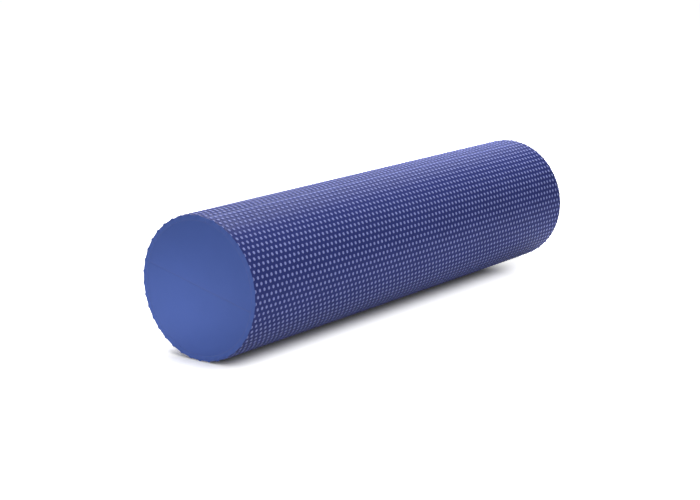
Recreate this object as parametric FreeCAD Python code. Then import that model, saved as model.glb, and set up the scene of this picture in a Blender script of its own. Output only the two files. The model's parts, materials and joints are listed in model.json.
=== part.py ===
"""Solid foam roller: a two-piece EVA core in a textured, wrapped and glued EVA sleeve.

The roller lies on its side. X runs along its axis and +Z is up. The origin is the point on the floor
under the middle of the roller. Angles go round the axis from +Y towards +Z, so 90 degrees is the top.
All lengths are in millimetres.
"""
import FreeCAD, Part

import math
import os

# ---- driving dimensions ----
ROLLER_LENGTH = 600.0       # end face to end face
ROLLER_DIAMETER = 150.0     # across the flat ground of the sleeve, between its dots
DOT_HEIGHT = 1.0            # how far the sleeve's dots stand up from that ground
SLEEVE_THICKNESS = 5.0      # the sleeve's sheet, without its dots
SLEEVE_GLUE = 0.2           # contact cement between the sleeve and the core
CORE_GLUE = 0.3             # contact cement between the two core halves
CORE_JOINT_TILT = 13.6      # degrees, how far the core's flat joint is turned from level
CORE_JOINT_OFFSET = 2.5     # how far that joint misses the roller's axis
SEAM_ANGLE = 99.5           # degrees, where the sleeve's two long edges meet
SEAM_GLUE = 0.3             # contact cement between those edges
SEAM_MARGIN = 1.35          # plain strip with no dots along each of those edges

# ---- sizes that follow from them ----
GROUND_RADIUS = ROLLER_DIAMETER / 2.0
DOT_TIP_RADIUS = GROUND_RADIUS + DOT_HEIGHT
SLEEVE_INNER_RADIUS = GROUND_RADIUS - SLEEVE_THICKNESS
CORE_RADIUS = SLEEVE_INNER_RADIUS - SLEEVE_GLUE
AXIS_HEIGHT = DOT_TIP_RADIUS    # the roller rests on the tips of its dots
HALF_TURN = 180.0
FULL_TURN = 360.0


def rim_point(radius, angle):
    """A point at one end of the roller, at a radius and an angle round the axis."""
    turn = math.radians(angle)
    y = radius * math.cos(turn)
    z = AXIS_HEIGHT + radius * math.sin(turn)
    return FreeCAD.Vector(-ROLLER_LENGTH / 2.0, y, z)


def arc_edge(radius, start, end):
    """A round edge about the roller's axis, from one angle to another."""
    middle = (start + end) / 2.0
    points = [rim_point(radius, angle) for angle in (start, middle, end)]
    return Part.Arc(*points).toShape()


def straight_edge(start, end):
    """A straight edge between two points."""
    return Part.LineSegment(start, end).toShape()


def full_length(edges):
    """The outline at one end, drawn out along the whole roller."""
    outline = Part.Wire(edges)
    return Part.Face(outline).extrude(FreeCAD.Vector(ROLLER_LENGTH, 0, 0))


def strip_half_angle(radius, half_width):
    """The angle that half the width of a strip takes up at this radius, in degrees."""
    return math.degrees(math.asin(half_width / radius))


def joint_ends(side):
    """Where one side of the core's flat joint (1 above, -1 below) meets its round surface."""
    rise = strip_half_angle(CORE_RADIUS, CORE_JOINT_OFFSET + side * CORE_GLUE / 2.0)
    return CORE_JOINT_TILT + rise, CORE_JOINT_TILT + HALF_TURN - rise


def core_outline():
    """The core's round outline, as four arcs: upper half, film end, lower half, film end."""
    high_start, high_end = joint_ends(1)
    low_start, low_end = joint_ends(-1)
    return {
        "upper": arc_edge(CORE_RADIUS, high_start, high_end),
        "film_left": arc_edge(CORE_RADIUS, high_end, low_end),
        "lower": arc_edge(CORE_RADIUS, low_end, low_start + FULL_TURN),
        "film_right": arc_edge(CORE_RADIUS, low_start, high_start),
    }


def joint_face_edge(side):
    """The straight edge of the core's flat joint, on one side of its cement."""
    start, end = joint_ends(side)
    return straight_edge(rim_point(CORE_RADIUS, start), rim_point(CORE_RADIUS, end))


def core_half(side):
    """One half-round bar of foam, above the flat joint (side 1) or below it (side -1)."""
    crown = core_outline()["upper" if side > 0 else "lower"]
    return full_length([crown, joint_face_edge(side)])


def core_glue_film():
    """The flat film of cement between the core halves, out to the core's round surface."""
    outline = core_outline()
    return full_length([
        outline["film_right"],
        joint_face_edge(1),
        outline["film_left"],
        joint_face_edge(-1),
    ])


def sleeve_inner_outline():
    """The sleeve's round inside, as two arcs: the sheet itself, and the cement of its seam."""
    half_seam = strip_half_angle(SLEEVE_INNER_RADIUS, SEAM_GLUE / 2.0)
    sheet_end = SEAM_ANGLE + FULL_TURN - half_seam
    return {
        "sheet": arc_edge(SLEEVE_INNER_RADIUS, SEAM_ANGLE + half_seam, sheet_end),
        "seam": arc_edge(SLEEVE_INNER_RADIUS, SEAM_ANGLE - half_seam, SEAM_ANGLE + half_seam),
    }


def sleeve_glue_film():
    """The film of cement all round the core, under the sleeve."""
    outside = full_length(list(sleeve_inner_outline().values()))
    inside = full_length(list(core_outline().values()))
    return outside.cut(inside)


def seam_glue_film():
    """The thin upright film of cement where the sleeve's long edges meet."""
    inner = strip_half_angle(SLEEVE_INNER_RADIUS, SEAM_GLUE / 2.0)
    outer = strip_half_angle(GROUND_RADIUS, SEAM_GLUE / 2.0)
    inner_right = rim_point(SLEEVE_INNER_RADIUS, SEAM_ANGLE - inner)
    inner_left = rim_point(SLEEVE_INNER_RADIUS, SEAM_ANGLE + inner)
    outer_right = rim_point(GROUND_RADIUS, SEAM_ANGLE - outer)
    outer_left = rim_point(GROUND_RADIUS, SEAM_ANGLE + outer)
    return full_length([
        sleeve_inner_outline()["seam"],
        straight_edge(inner_left, outer_left),
        arc_edge(GROUND_RADIUS, SEAM_ANGLE + outer, SEAM_ANGLE - outer),
        straight_edge(outer_right, inner_right),
    ])


def textured_sleeve():
    """The wrapped sheet, once round the core from one side of the seam to the other.

    Its solid is as high as the tips of its dots, because they carry the roller on the floor, and it
    drops to the ground between the dots in the plain margin along each edge of the seam.
    """
    far_side = SEAM_ANGLE + FULL_TURN
    half_glue = SEAM_GLUE / 2.0
    edge_inside = strip_half_angle(SLEEVE_INNER_RADIUS, half_glue)
    edge_outside = strip_half_angle(GROUND_RADIUS, half_glue)
    margin_ground = strip_half_angle(GROUND_RADIUS, half_glue + SEAM_MARGIN)
    margin_tip = strip_half_angle(DOT_TIP_RADIUS, half_glue + SEAM_MARGIN)

    def both(radius, inset):
        return rim_point(radius, SEAM_ANGLE + inset), rim_point(radius, far_side - inset)

    inside_first, inside_last = both(SLEEVE_INNER_RADIUS, edge_inside)
    edge_first, edge_last = both(GROUND_RADIUS, edge_outside)
    step_first, step_last = both(GROUND_RADIUS, margin_ground)
    field_first, field_last = both(DOT_TIP_RADIUS, margin_tip)
    return full_length([
        straight_edge(inside_first, edge_first),
        arc_edge(GROUND_RADIUS, SEAM_ANGLE + edge_outside, SEAM_ANGLE + margin_ground),
        straight_edge(step_first, field_first),
        arc_edge(DOT_TIP_RADIUS, SEAM_ANGLE + margin_tip, far_side - margin_tip),
        straight_edge(field_last, step_last),
        arc_edge(GROUND_RADIUS, far_side - margin_ground, far_side - edge_outside),
        straight_edge(edge_last, inside_last),
        sleeve_inner_outline()["sheet"],
    ])


PIECES = {
    "core_upper_half": core_half(1),
    "core_lower_half": core_half(-1),
    "core_glue_film": core_glue_film(),
    "sleeve_glue_film": sleeve_glue_film(),
    "textured_sleeve": textured_sleeve(),
    "seam_glue_film": seam_glue_film(),
}

os.makedirs("parts", exist_ok=True)
for name, solid in PIECES.items():
    solid.exportStep(f"parts/{name}.step")
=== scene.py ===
import json
import math

import bpy
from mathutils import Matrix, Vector


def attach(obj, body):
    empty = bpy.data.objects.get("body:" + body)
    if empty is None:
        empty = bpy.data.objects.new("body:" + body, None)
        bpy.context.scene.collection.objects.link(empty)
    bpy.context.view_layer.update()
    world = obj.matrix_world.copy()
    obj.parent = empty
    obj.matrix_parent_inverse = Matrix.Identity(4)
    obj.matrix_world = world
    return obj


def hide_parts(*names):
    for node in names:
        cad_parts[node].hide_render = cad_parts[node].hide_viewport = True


# A solid foam roller in a textured foam sleeve, lying on its side. Metres, X along the roller, Z up.

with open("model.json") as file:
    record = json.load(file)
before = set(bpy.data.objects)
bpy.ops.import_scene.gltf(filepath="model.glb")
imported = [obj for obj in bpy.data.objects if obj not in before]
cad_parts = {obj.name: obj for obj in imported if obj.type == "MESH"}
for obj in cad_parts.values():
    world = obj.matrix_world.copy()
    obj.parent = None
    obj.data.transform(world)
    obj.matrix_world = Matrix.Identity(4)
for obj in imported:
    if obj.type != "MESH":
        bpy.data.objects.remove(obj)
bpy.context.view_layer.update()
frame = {"nodes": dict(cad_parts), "record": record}


# ---- The two core halves ----
# Half-round bars of closed-cell EVA foam, violet-blue all through. They are sawn from slabs, glued flat
# face to flat face into one round bar, and trimmed with it, so their ends are smooth and a little
# rounded along every cut edge.

roller_length, _, roller_height = frame["record"]["size"]["bbox_m"]
end_x = roller_length / 2
axis_height = roller_height / 2
core_radius = 0.0698
joint_tilt = math.radians(13.6)
joint_offset = 0.0025
joint_glue = 0.0003
core_edge_round = 0.00015
core_sides = 180
cut_foam_dark = (0.053, 0.090, 0.287)
cut_foam_light = (0.062, 0.103, 0.330)


def only(piece):
    """Leaves this piece alone selected and active."""
    bpy.ops.object.select_all(action="DESELECT")
    piece.select_set(True)
    bpy.context.view_layer.objects.active = piece


def apply_modifiers(piece):
    """Makes the piece's modifiers part of its mesh, in their order."""
    only(piece)
    for name in [m.name for m in piece.modifiers]:
        bpy.ops.object.modifier_apply(modifier=name)


def foam_cells_group():
    """Closed-cell foam as a surface shows it: fine cells, and a broad uneven tone."""
    group = bpy.data.node_groups.new("foam_cells", "ShaderNodeTree")
    face = group.interface
    face.new_socket("Vector", in_out="INPUT", socket_type="NodeSocketVector")
    face.new_socket("Cells Scale", in_out="INPUT", socket_type="NodeSocketFloat")
    face.new_socket("Tone Scale", in_out="INPUT", socket_type="NodeSocketFloat")
    face.new_socket("Cells", in_out="OUTPUT", socket_type="NodeSocketFloat")
    face.new_socket("Tone", in_out="OUTPUT", socket_type="NodeSocketFloat")
    nodes, links = group.nodes, group.links
    given = nodes.new("NodeGroupInput")
    out = nodes.new("NodeGroupOutput")
    cells = nodes.new("ShaderNodeTexVoronoi")
    cells.feature = "SMOOTH_F1"
    links.new(given.outputs["Vector"], cells.inputs["Vector"])
    links.new(given.outputs["Cells Scale"], cells.inputs["Scale"])
    tone = nodes.new("ShaderNodeTexNoise")
    tone.inputs["Detail"].default_value = 4.0
    tone.inputs["Roughness"].default_value = 0.6
    links.new(given.outputs["Vector"], tone.inputs["Vector"])
    links.new(given.outputs["Tone Scale"], tone.inputs["Scale"])
    links.new(cells.outputs["Distance"], out.inputs["Cells"])
    links.new(tone.outputs["Fac"], out.inputs["Tone"])
    return group


foam_cells = foam_cells_group()


def new_material(name):
    """An empty node material with its Principled shader joined to the output."""
    material = bpy.data.materials.new(name)
    material.use_nodes = True
    nodes = material.node_tree.nodes
    nodes.clear()
    shader = nodes.new("ShaderNodeBsdfPrincipled")
    output = nodes.new("ShaderNodeOutputMaterial")
    material.node_tree.links.new(shader.outputs["BSDF"], output.inputs["Surface"])
    return material, shader


def mix_colours(tree, factor, first, second):
    """Two colours mixed by a value that changes over the surface."""
    mix = tree.nodes.new("ShaderNodeMix")
    mix.data_type = "RGBA"
    tree.links.new(factor, mix.inputs["Factor"])
    for place, colour in (("A", first), ("B", second)):
        socket = next(s for s in mix.inputs if s.name == place and s.type == "RGBA")
        if isinstance(colour, tuple):
            socket.default_value = (*colour, 1.0)
        else:
            tree.links.new(colour, socket)
    return next(s for s in mix.outputs if s.type == "RGBA")


def cells_at(tree, cells_scale, tone_scale):
    """The foam cells, placed in a material on the piece's Object coordinates."""
    where = tree.nodes.new("ShaderNodeTexCoord")
    cells = tree.nodes.new("ShaderNodeGroup")
    cells.node_tree = foam_cells
    cells.inputs["Cells Scale"].default_value = cells_scale
    cells.inputs["Tone Scale"].default_value = tone_scale
    tree.links.new(where.outputs["Object"], cells.inputs["Vector"])
    return cells


def small_bumps(tree, shader, height, strength):
    """The open cells as a fine relief, a tenth of a millimetre deep."""
    bump = tree.nodes.new("ShaderNodeBump")
    bump.inputs["Strength"].default_value = strength
    bump.inputs["Distance"].default_value = 0.0001
    tree.links.new(height, bump.inputs["Height"])
    tree.links.new(bump.outputs["Normal"], shader.inputs["Normal"])


def cut_foam_material(name):
    """Foam as a blade leaves it: even and satin, with its cells just open."""
    material, shader = new_material(name)
    tree = material.node_tree
    cells = cells_at(tree, cells_scale=1500.0, tone_scale=25.0)
    colour = mix_colours(tree, cells.outputs["Tone"], cut_foam_dark, cut_foam_light)
    tree.links.new(colour, shader.inputs["Base Color"])
    shader.inputs["Roughness"].default_value = 0.55
    shader.inputs["Specular IOR Level"].default_value = 0.05
    small_bumps(tree, shader, cells.outputs["Cells"], strength=0.12)
    return material


core_foam = cut_foam_material("core_foam_cut")


def half_round_bar(name, side):
    """A round bar cut along the core's joint. side is 1 for the half above it and -1 for the one below."""
    bpy.ops.object.select_all(action="DESELECT")
    bpy.ops.mesh.primitive_cylinder_add(
        vertices=core_sides, radius=core_radius, depth=roller_length,
        location=(0, 0, axis_height), rotation=(0, math.pi / 2, 0))
    bar = bpy.context.object
    bar.name = name
    bpy.ops.object.transform_apply(location=True, rotation=True, scale=True)
    away = Vector((0, -math.sin(joint_tilt), math.cos(joint_tilt)))
    joint_place = Vector((0, 0, axis_height)) + away * (joint_offset + side * joint_glue / 2)
    bpy.ops.object.mode_set(mode="EDIT")
    bpy.ops.mesh.select_all(action="SELECT")
    bpy.ops.mesh.bisect(
        plane_co=joint_place, plane_no=away, use_fill=True,
        clear_inner=side > 0, clear_outer=side < 0)
    bpy.ops.mesh.select_all(action="SELECT")
    bpy.ops.mesh.normals_make_consistent(inside=False)
    bpy.ops.object.mode_set(mode="OBJECT")
    rounding = bar.modifiers.new("rounding", "BEVEL")
    rounding.width = core_edge_round
    rounding.segments = 2
    rounding.limit_method = "ANGLE"
    rounding.angle_limit = math.radians(40)
    apply_modifiers(bar)
    bpy.ops.object.shade_smooth_by_angle(angle=math.radians(30))
    bar.data.materials.append(core_foam)
    return bar


for node, side in (("core_upper_half", 1), ("core_lower_half", -1)):
    half = half_round_bar(node + "_foam", side)
    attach(half, "root")
    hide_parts(node)


# ---- The cement between the core halves ----
# Contact cement brushed on both flat faces and left to dry before they are pressed together. It is a
# film a third of a millimetre thick, which shows as a fine dark line across each end.

def cement_material(name, colour):
    """Dried cement stained by the foam, a little darker where it lies thick."""
    material, shader = new_material(name)
    tree = material.node_tree
    cells = cells_at(tree, cells_scale=900.0, tone_scale=60.0)
    thick = tuple(0.8 * part for part in colour)
    tree.links.new(mix_colours(tree, cells.outputs["Tone"], thick, colour), shader.inputs["Base Color"])
    shader.inputs["Roughness"].default_value = 0.6
    small_bumps(tree, shader, cells.outputs["Cells"], strength=0.1)
    return material


def dress(node, material):
    """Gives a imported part, whose shape is right as it is, its finish."""
    part = frame["nodes"][node]
    part.data.materials.clear()
    part.data.materials.append(material)


dress("core_glue_film", cement_material("joint_cement", colour=(0.044, 0.070, 0.230)))


# ---- The cement under the sleeve ----
# The same cement all round the core. Its thin edge shows between the core and the sleeve at each end,
# squeezed thin and stained by the foam to nearly the foam's own colour.

dress("sleeve_glue_film", cement_material("sleeve_cement", colour=(0.053, 0.079, 0.244)))


# ---- The textured sleeve ----
# One sheet of EVA foam, embossed hot between rollers with staggered rows of round dots, then wrapped
# once round the core and cemented. The two ends are cut off square afterwards, straight through the
# dots, so the rims are scalloped. One row close by each end of the core's joint is pressed flatter.

ground_radius = 0.075
dot_height = axis_height - ground_radius
sheet_thickness = 0.005
dot_pitch = 0.00695
dot_foot = 0.0045
dot_crown = 0.0018
row_count = 75
seam_glue = 0.0003
seam_to_row = 0.0034
first_dot_from_end = 0.0004
seam_angle = math.radians(99.5)
flattened_rows = (19, 57)
flattened_share = 0.9
# The strip beside the seam is a painted sheen: the ground there is painted lighter, for the light that its
# flat margins catch.
seam_sheen_turn = math.radians(1.8)
seam_sheen_width = 0.0060
highlight_from = 0.20        # shares of the dots' height, between which the painted highlight on their crowns fades in
highlight_to = 0.75
ground_dark = (0.026, 0.034, 0.1425)
ground_light = (0.032, 0.0415, 0.1705)
# painted sheen: the ground's colour in the strip along the seam
ground_seam_sheen = (0.0475, 0.060, 0.215)
# The crowns' colours are a painted highlight: paler than the ground, they stand in for the light on the
# dots' tops.
crown_highlight_dark = (0.212, 0.240, 0.512)
crown_highlight_light = (0.247, 0.279, 0.595)

sheet_width = 2 * math.pi * ground_radius - seam_glue
row_pitch = (sheet_width - 2 * seam_to_row) / (row_count - 1)
cell_radius = row_pitch * 2 / 3
spare_rows = 2          # the sheet is made too large, and trimmed through whole cells
spare_dots = 2
row_pairs = math.ceil((row_count + spare_rows) / 2)
dots_along = math.ceil(roller_length / dot_pitch) + spare_dots


def boundary_edges(mesh):
    """The edges of only one face."""
    uses = {}
    for polygon in mesh.polygons:
        for key in polygon.edge_keys:
            uses[key] = uses.get(key, 0) + 1
    return [edge for edge in mesh.edges if uses.get(edge.key, 0) == 1]


def select_only(piece, mode, chosen):
    """In edit mode: selects these vertices, edges or faces and nothing else."""
    bpy.ops.mesh.select_mode(type=mode)
    bpy.ops.mesh.select_all(action="DESELECT")
    bpy.ops.object.mode_set(mode="OBJECT")
    mesh = piece.data
    parts = {"VERT": mesh.vertices, "EDGE": mesh.edges, "FACE": mesh.polygons}[mode]
    for index in chosen(mesh):
        parts[index].select = True
    bpy.ops.object.mode_set(mode="EDIT")


def dot_cell():
    """One six-sided cell of the flat sheet with its dot, all in one skin."""
    bpy.ops.object.select_all(action="DESELECT")
    bpy.ops.mesh.primitive_circle_add(vertices=6, radius=cell_radius, fill_type="NGON")
    cell = bpy.context.object
    cell.scale.x = dot_pitch / (math.sqrt(3) * cell_radius)
    bpy.ops.object.transform_apply(location=True, rotation=True, scale=True)
    bpy.ops.object.mode_set(mode="EDIT")
    bpy.ops.mesh.select_all(action="SELECT")
    cell_middle_to_side = cell_radius * math.cos(math.pi / 6)
    bpy.ops.mesh.inset(thickness=cell_middle_to_side - dot_foot / 2, depth=0)
    bpy.ops.mesh.select_mode(type="EDGE")
    bpy.ops.mesh.mark_sharp()
    bpy.ops.mesh.select_mode(type="FACE")
    bpy.ops.mesh.inset(thickness=(dot_foot - dot_crown) / 2, depth=dot_height)
    bpy.ops.object.mode_set(mode="OBJECT")
    return cell


def repeat(piece, count, step):
    """Copies the piece in a line, at this step, until there are count of it."""
    array = piece.modifiers.new("rows", "ARRAY")
    array.use_relative_offset = False
    array.use_constant_offset = True
    array.constant_offset_displace = step
    array.count = count
    apply_modifiers(piece)


def flat_sheet():
    """The embossed sheet before it is wrapped: dots up, X along the roller, Y round it."""
    sheet = dot_cell()
    repeat(sheet, dots_along, (dot_pitch, 0, 0))
    bpy.ops.object.mode_set(mode="EDIT")
    bpy.ops.mesh.select_all(action="SELECT")
    bpy.ops.mesh.duplicate_move(
        TRANSFORM_OT_translate={"value": (-dot_pitch / 2, row_pitch, 0)})
    bpy.ops.object.mode_set(mode="OBJECT")
    repeat(sheet, row_pairs, (0, 2 * row_pitch, 0))
    sheet.location = (
        -end_x + first_dot_from_end - dot_pitch / 2,
        -sheet_width / 2 + seam_to_row - spare_rows * row_pitch, 0)
    bpy.ops.object.transform_apply(location=True, rotation=True, scale=True)
    bpy.ops.object.mode_set(mode="EDIT")
    bpy.ops.mesh.select_all(action="SELECT")
    bpy.ops.mesh.remove_doubles(threshold=0.00002)
    for place, outward in (
            ((-end_x, 0, 0), (-1, 0, 0)), ((end_x, 0, 0), (1, 0, 0)),
            ((0, -sheet_width / 2, 0), (0, -1, 0)), ((0, sheet_width / 2, 0), (0, 1, 0))):
        bpy.ops.mesh.select_all(action="SELECT")
        bpy.ops.mesh.bisect(plane_co=place, plane_no=outward, clear_outer=True)
    bpy.ops.object.mode_set(mode="OBJECT")
    return sheet


def press_rows_flatter(sheet):
    """Lowers the crowns of the flattened rows, counted from the seam."""
    for row in flattened_rows:
        middle = sheet_width / 2 - seam_to_row - row * row_pitch
        bpy.ops.object.mode_set(mode="EDIT")
        select_only(sheet, "VERT", lambda mesh: [
            v.index for v in mesh.vertices
            if v.co.z > dot_height / 2 and abs(v.co.y - middle) < row_pitch / 2])
        bpy.ops.transform.resize(value=(1, 1, flattened_share), center_override=(0, 0, 0))
        bpy.ops.object.mode_set(mode="OBJECT")


def give_thickness(sheet):
    """Cut walls down from every edge of the sheet, and its plain underside."""
    hair = 0.00001          # vertices nearer than this to a plane lie on it
    under = -sheet_thickness
    bpy.ops.object.mode_set(mode="EDIT")
    select_only(sheet, "EDGE", lambda mesh: [edge.index for edge in boundary_edges(mesh)])
    bpy.ops.mesh.extrude_edges_move(TRANSFORM_OT_translate={"value": (0, 0, under)})
    bpy.ops.transform.resize(value=(1, 1, 0), center_override=(0, 0, under))

    def across_the_ends(mesh):
        low = {v.index for v in mesh.vertices
               if v.co.z < under + hair and abs(v.co.x) > end_x - hair}
        return [edge.index for edge in mesh.edges if set(edge.vertices) <= low]

    select_only(sheet, "EDGE", across_the_ends)
    bpy.ops.mesh.bridge_edge_loops()

    def beside_the_seam(mesh):
        return [p.index for p in mesh.polygons
                if all(mesh.vertices[i].co.z < under + hair for i in p.vertices)
                and any(abs(mesh.vertices[i].co.y) > sheet_width / 2 - hair for i in p.vertices)]

    select_only(sheet, "FACE", beside_the_seam)
    bpy.ops.mesh.delete(type="FACE")
    select_only(sheet, "EDGE", lambda mesh: [edge.index for edge in boundary_edges(mesh)])
    bpy.ops.mesh.fill_holes(sides=0)
    bpy.ops.mesh.select_all(action="SELECT")
    bpy.ops.mesh.normals_make_consistent(inside=False)
    bpy.ops.object.mode_set(mode="OBJECT")


def wrap(sheet):
    """Bends the flat sheet round the core, its two long edges meeting at the seam."""
    only(sheet)
    sheet.rotation_euler = (math.pi / 2, 0, 0)
    bpy.ops.object.transform_apply(location=True, rotation=True, scale=True)
    bend = sheet.modifiers.new("wrap", "SIMPLE_DEFORM")
    bend.deform_method = "BEND"
    bend.deform_axis = "X"
    bend.angle = sheet_width / ground_radius
    apply_modifiers(sheet)
    sheet.location = (0, -ground_radius, 0)
    bpy.ops.object.transform_apply(location=True, rotation=True, scale=True)
    sheet.rotation_euler = (seam_angle, 0, 0)
    sheet.location = (0, 0, axis_height)
    bpy.ops.object.transform_apply(location=True, rotation=True, scale=True)


sleeve = flat_sheet()
sleeve.name = "textured_sleeve_foam"
press_rows_flatter(sleeve)
give_thickness(sleeve)
wrap(sleeve)
bpy.ops.object.shade_smooth_by_angle(angle=math.radians(80))


def distance_from_axis(tree, where):
    """How far each point is from the roller's own axis."""
    across = tree.nodes.new("ShaderNodeVectorMath")
    across.operation = "MULTIPLY_ADD"
    across.inputs[1].default_value = (0, 1, 1)
    across.inputs[2].default_value = (0, 0, -axis_height)
    radius = tree.nodes.new("ShaderNodeVectorMath")
    radius.operation = "LENGTH"
    tree.links.new(where.outputs["Object"], across.inputs[0])
    tree.links.new(across.outputs["Vector"], radius.inputs[0])
    return radius.outputs["Value"]


def seam_sheen_strip(tree, where):
    """1 in the strip along the seam where the ground is painted pale, a painted sheen for the light that
    the seam's flat margins catch.
    """
    turn = seam_angle + seam_sheen_turn
    offset = tree.nodes.new("ShaderNodeVectorMath")
    offset.operation = "SUBTRACT"
    offset.inputs[1].default_value = (
        0, ground_radius * math.cos(turn), axis_height + ground_radius * math.sin(turn))
    across = tree.nodes.new("ShaderNodeVectorMath")
    across.operation = "MULTIPLY"
    across.inputs[1].default_value = (0, 1, 1)
    gap = tree.nodes.new("ShaderNodeVectorMath")
    gap.operation = "LENGTH"
    strip = tree.nodes.new("ShaderNodeMapRange")
    strip.interpolation_type = "SMOOTHSTEP"
    strip.inputs["From Min"].default_value = seam_sheen_width / 2
    strip.inputs["From Max"].default_value = seam_sheen_width / 3
    tree.links.new(where.outputs["Object"], offset.inputs[0])
    tree.links.new(offset.outputs["Vector"], across.inputs[0])
    tree.links.new(across.outputs["Vector"], gap.inputs[0])
    tree.links.new(gap.outputs["Value"], strip.inputs["Value"])
    return strip.outputs["Result"]


def embossed_foam_material():
    """The sheet's skin, satin from the hot roller: dark in the ground, with a painted highlight that makes
    the dots' crowns paler.
    """
    material, shader = new_material("embossed_foam_skin")
    tree = material.node_tree
    nodes, links = tree.nodes, tree.links
    where = nodes.new("ShaderNodeTexCoord")
    cells = cells_at(tree, cells_scale=1200.0, tone_scale=18.0)
    crown = nodes.new("ShaderNodeMapRange")
    crown.interpolation_type = "SMOOTHSTEP"
    crown.inputs["From Min"].default_value = ground_radius + highlight_from * dot_height
    crown.inputs["From Max"].default_value = ground_radius + highlight_to * dot_height
    links.new(distance_from_axis(tree, where), crown.inputs["Value"])
    ground = mix_colours(tree, cells.outputs["Tone"], ground_dark, ground_light)
    # Painted sheen: the ground painted paler in a strip along the seam.
    ground = mix_colours(tree, seam_sheen_strip(tree, where), ground, ground_seam_sheen)
    # Painted highlight: the crowns' paler colour, mixed in by their height, stands in for the light on the
    # dots' tops.
    painted_highlight = mix_colours(tree, cells.outputs["Tone"], crown_highlight_dark, crown_highlight_light)
    links.new(mix_colours(tree, crown.outputs["Result"], ground, painted_highlight), shader.inputs["Base Color"])
    satin = nodes.new("ShaderNodeMapRange")
    satin.inputs["To Min"].default_value = 0.3
    satin.inputs["To Max"].default_value = 0.5
    links.new(crown.outputs["Result"], satin.inputs["Value"])
    links.new(satin.outputs["Result"], shader.inputs["Roughness"])
    shader.inputs["Specular IOR Level"].default_value = 0.015
    small_bumps(tree, shader, cells.outputs["Cells"], strength=0.1)
    return material


def cut_ends(piece):
    """The faces that the blade left at the two ends: those that look straight along the roller."""
    return [face for face in piece.data.polygons if abs(face.normal.x) > 0.99]


sleeve.data.materials.append(embossed_foam_material())
sleeve.data.materials.append(cut_foam_material("sleeve_foam_cut"))
for face in cut_ends(sleeve):
    face.material_index = 1

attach(sleeve, "root")
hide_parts("textured_sleeve")


# ---- The seam's cement ----
# The same cement again, brushed on the sheet's two long edges before they are pressed together. It is
# a thin upright film along the whole roller, flush with the ground between the dots.

dress("seam_glue_film", cement_material("seam_cement", colour=(0.059, 0.099, 0.312)))


# ---- Floor, light and camera ----
# A plain white floor and surround. Soft lamps stand above the near side and above and behind the far
# end, and a small one lies on the floor before the near end.

floor_white = 0.95
surround_level = 0.016
shadow_near_x = -0.285
# Past shadow_far_x the floor's glow is painted light, which wipes out the roller's shadow under its far
# end.
shadow_far_x = 0.200
shadow_half_width = 0.010
shadow_fade = 0.079
lamp_aim_height = 0.07
end_aim_height = 0.03
camera_place = (-1.4825, -1.0738, 0.4767)
camera_turn = math.radians(53.25)
camera_dip = math.radians(12.79)
camera_lens = 83.83


def seen_rays(tree):
    """1 for what is seen straight, in a reflection or through glass, and 0 for the light itself."""
    path = tree.nodes.new("ShaderNodeLightPath")
    seen = path.outputs["Is Camera Ray"]
    for kind in ("Is Glossy Ray", "Is Transmission Ray"):
        either = tree.nodes.new("ShaderNodeMath")
        either.operation = "MAXIMUM"
        tree.links.new(seen, either.inputs[0])
        tree.links.new(path.outputs[kind], either.inputs[1])
        seen = either.outputs["Value"]
    return seen


def away_from_shadow(tree):
    """0 on the floor under and beside the roller between shadow_near_x and shadow_far_x, rising to 1 away
    from there. Past shadow_far_x it rises to 1 under the roller's far end too: painted light that takes
    the shadow away there.
    """
    nodes, links = tree.nodes, tree.links
    where = nodes.new("ShaderNodeTexCoord")
    middled = nodes.new("ShaderNodeVectorMath")
    middled.operation = "ADD"
    middled.inputs[1].default_value = (-(shadow_near_x + shadow_far_x) / 2, 0, 0)
    either_side = nodes.new("ShaderNodeVectorMath")
    either_side.operation = "ABSOLUTE"
    past = nodes.new("ShaderNodeVectorMath")
    past.operation = "SUBTRACT"
    past.inputs[1].default_value = ((shadow_far_x - shadow_near_x) / 2, shadow_half_width, 0)
    outside = nodes.new("ShaderNodeVectorMath")
    outside.operation = "MAXIMUM"
    outside.inputs[1].default_value = (0, 0, 0)
    away = nodes.new("ShaderNodeVectorMath")
    away.operation = "LENGTH"
    faded = nodes.new("ShaderNodeMapRange")
    faded.interpolation_type = "SMOOTHSTEP"
    faded.inputs["From Max"].default_value = shadow_fade
    links.new(where.outputs["Object"], middled.inputs[0])
    links.new(middled.outputs["Vector"], either_side.inputs[0])
    links.new(either_side.outputs["Vector"], past.inputs[0])
    links.new(past.outputs["Vector"], outside.inputs[0])
    links.new(outside.outputs["Vector"], away.inputs[0])
    links.new(away.outputs["Value"], faded.inputs["Value"])
    return faded.outputs["Result"]


def white_floor():
    """White matt paper, which stays white to the eye away from the roller and keeps its shadow, except
    under the far end, where its glow is painted light over the shadow.
    """
    bpy.ops.object.select_all(action="DESELECT")
    bpy.ops.mesh.primitive_plane_add(size=40.0, location=(0, 0, 0))
    floor = bpy.context.object
    floor.name = "floor"
    material = bpy.data.materials.new("floor_white")
    material.use_nodes = True
    tree = material.node_tree
    nodes, links = tree.nodes, tree.links
    nodes.clear()
    matt = nodes.new("ShaderNodeBsdfDiffuse")
    matt.inputs["Color"].default_value = (floor_white, floor_white, floor_white, 1.0)
    level = nodes.new("ShaderNodeMath")
    level.operation = "MULTIPLY"
    links.new(away_from_shadow(tree), level.inputs[0])
    links.new(seen_rays(tree), level.inputs[1])
    lift = nodes.new("ShaderNodeEmission")
    links.new(level.outputs["Value"], lift.inputs["Strength"])
    both = nodes.new("ShaderNodeAddShader")
    links.new(matt.outputs["BSDF"], both.inputs[0])
    links.new(lift.outputs["Emission"], both.inputs[1])
    output = nodes.new("ShaderNodeOutputMaterial")
    links.new(both.outputs["Shader"], output.inputs["Surface"])
    floor.data.materials.append(material)


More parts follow.
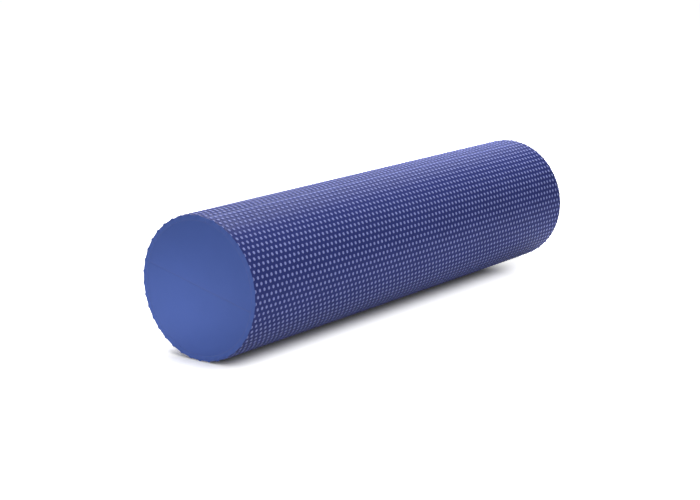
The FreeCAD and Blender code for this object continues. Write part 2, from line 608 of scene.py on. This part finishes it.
def soft_lamp(name, place, aim, size, power):
    """A lamp behind a flat diffuser, turned towards the point it is aimed at."""
    light = bpy.data.lights.new(name, "AREA")
    light.shape = "RECTANGLE"
    light.size, light.size_y = size
    light.energy = power
    lamp = bpy.data.objects.new(name, light)
    bpy.context.scene.collection.objects.link(lamp)
    lamp.location = place
    lamp.rotation_euler = (Vector(aim) - Vector(place)).to_track_quat("-Z", "Y").to_euler()
    lamp.visible_camera = False


def plain_surround():
    """White to the eye and in reflections, while it adds only a trace of light of its own."""
    world = bpy.data.worlds.new("surround")
    bpy.context.scene.world = world
    world.use_nodes = True
    nodes, links = world.node_tree.nodes, world.node_tree.links
    nodes.clear()
    soft = nodes.new("ShaderNodeBackground")
    soft.inputs["Strength"].default_value = surround_level
    white = nodes.new("ShaderNodeBackground")
    white.inputs["Strength"].default_value = 1.0
    mix = nodes.new("ShaderNodeMixShader")
    links.new(seen_rays(world.node_tree), mix.inputs["Fac"])
    links.new(soft.outputs["Background"], mix.inputs[1])
    links.new(white.outputs["Background"], mix.inputs[2])
    output = nodes.new("ShaderNodeOutputWorld")
    links.new(mix.outputs["Shader"], output.inputs["Surface"])


def view_camera():
    """A long lens a little above the roller, looking along its near side past the near end."""
    camera = bpy.data.objects.new("camera", bpy.data.cameras.new("camera"))
    bpy.context.scene.collection.objects.link(camera)
    camera.data.sensor_width = 36.0
    camera.data.lens = camera_lens
    camera.data.clip_start, camera.data.clip_end = 0.05, 50.0
    ahead = math.cos(camera_dip)
    forward = Vector((math.sin(camera_turn) * ahead, math.cos(camera_turn) * ahead, -math.sin(camera_dip)))
    camera.location = camera_place
    camera.rotation_euler = forward.to_track_quat("-Z", "Y").to_euler()
    bpy.context.scene.camera = camera


white_floor()
plain_surround()
soft_lamp("key_near", (-0.65, -0.55, 0.8), aim=(-0.25, 0, lamp_aim_height), size=(0.5, 0.5), power=3.6)
soft_lamp("key_high", (-0.6, -0.9, 1.3), aim=(-0.2, 0, lamp_aim_height), size=(1.0, 0.8), power=6.4)
soft_lamp("far_overhead", (0.5, 0.3, 1.3), aim=(0.2, 0, lamp_aim_height), size=(0.7, 0.7), power=22.4)
soft_lamp("far_corner", (1.2, 0.75, 1.05), aim=(0, 0, lamp_aim_height), size=(1.4, 1.4), power=9.6)
soft_lamp("far_end", (0.8, 0.45, 0.95), aim=(0.1, 0, lamp_aim_height), size=(0.8, 0.8), power=4.7)
soft_lamp(
    "near_end_low", (-0.43, 0.03, 0.004), aim=(-end_x, 0, end_aim_height), size=(0.15, 0.15), power=0.26)
view_camera()
bpy.context.scene.view_settings.view_transform = "Standard"
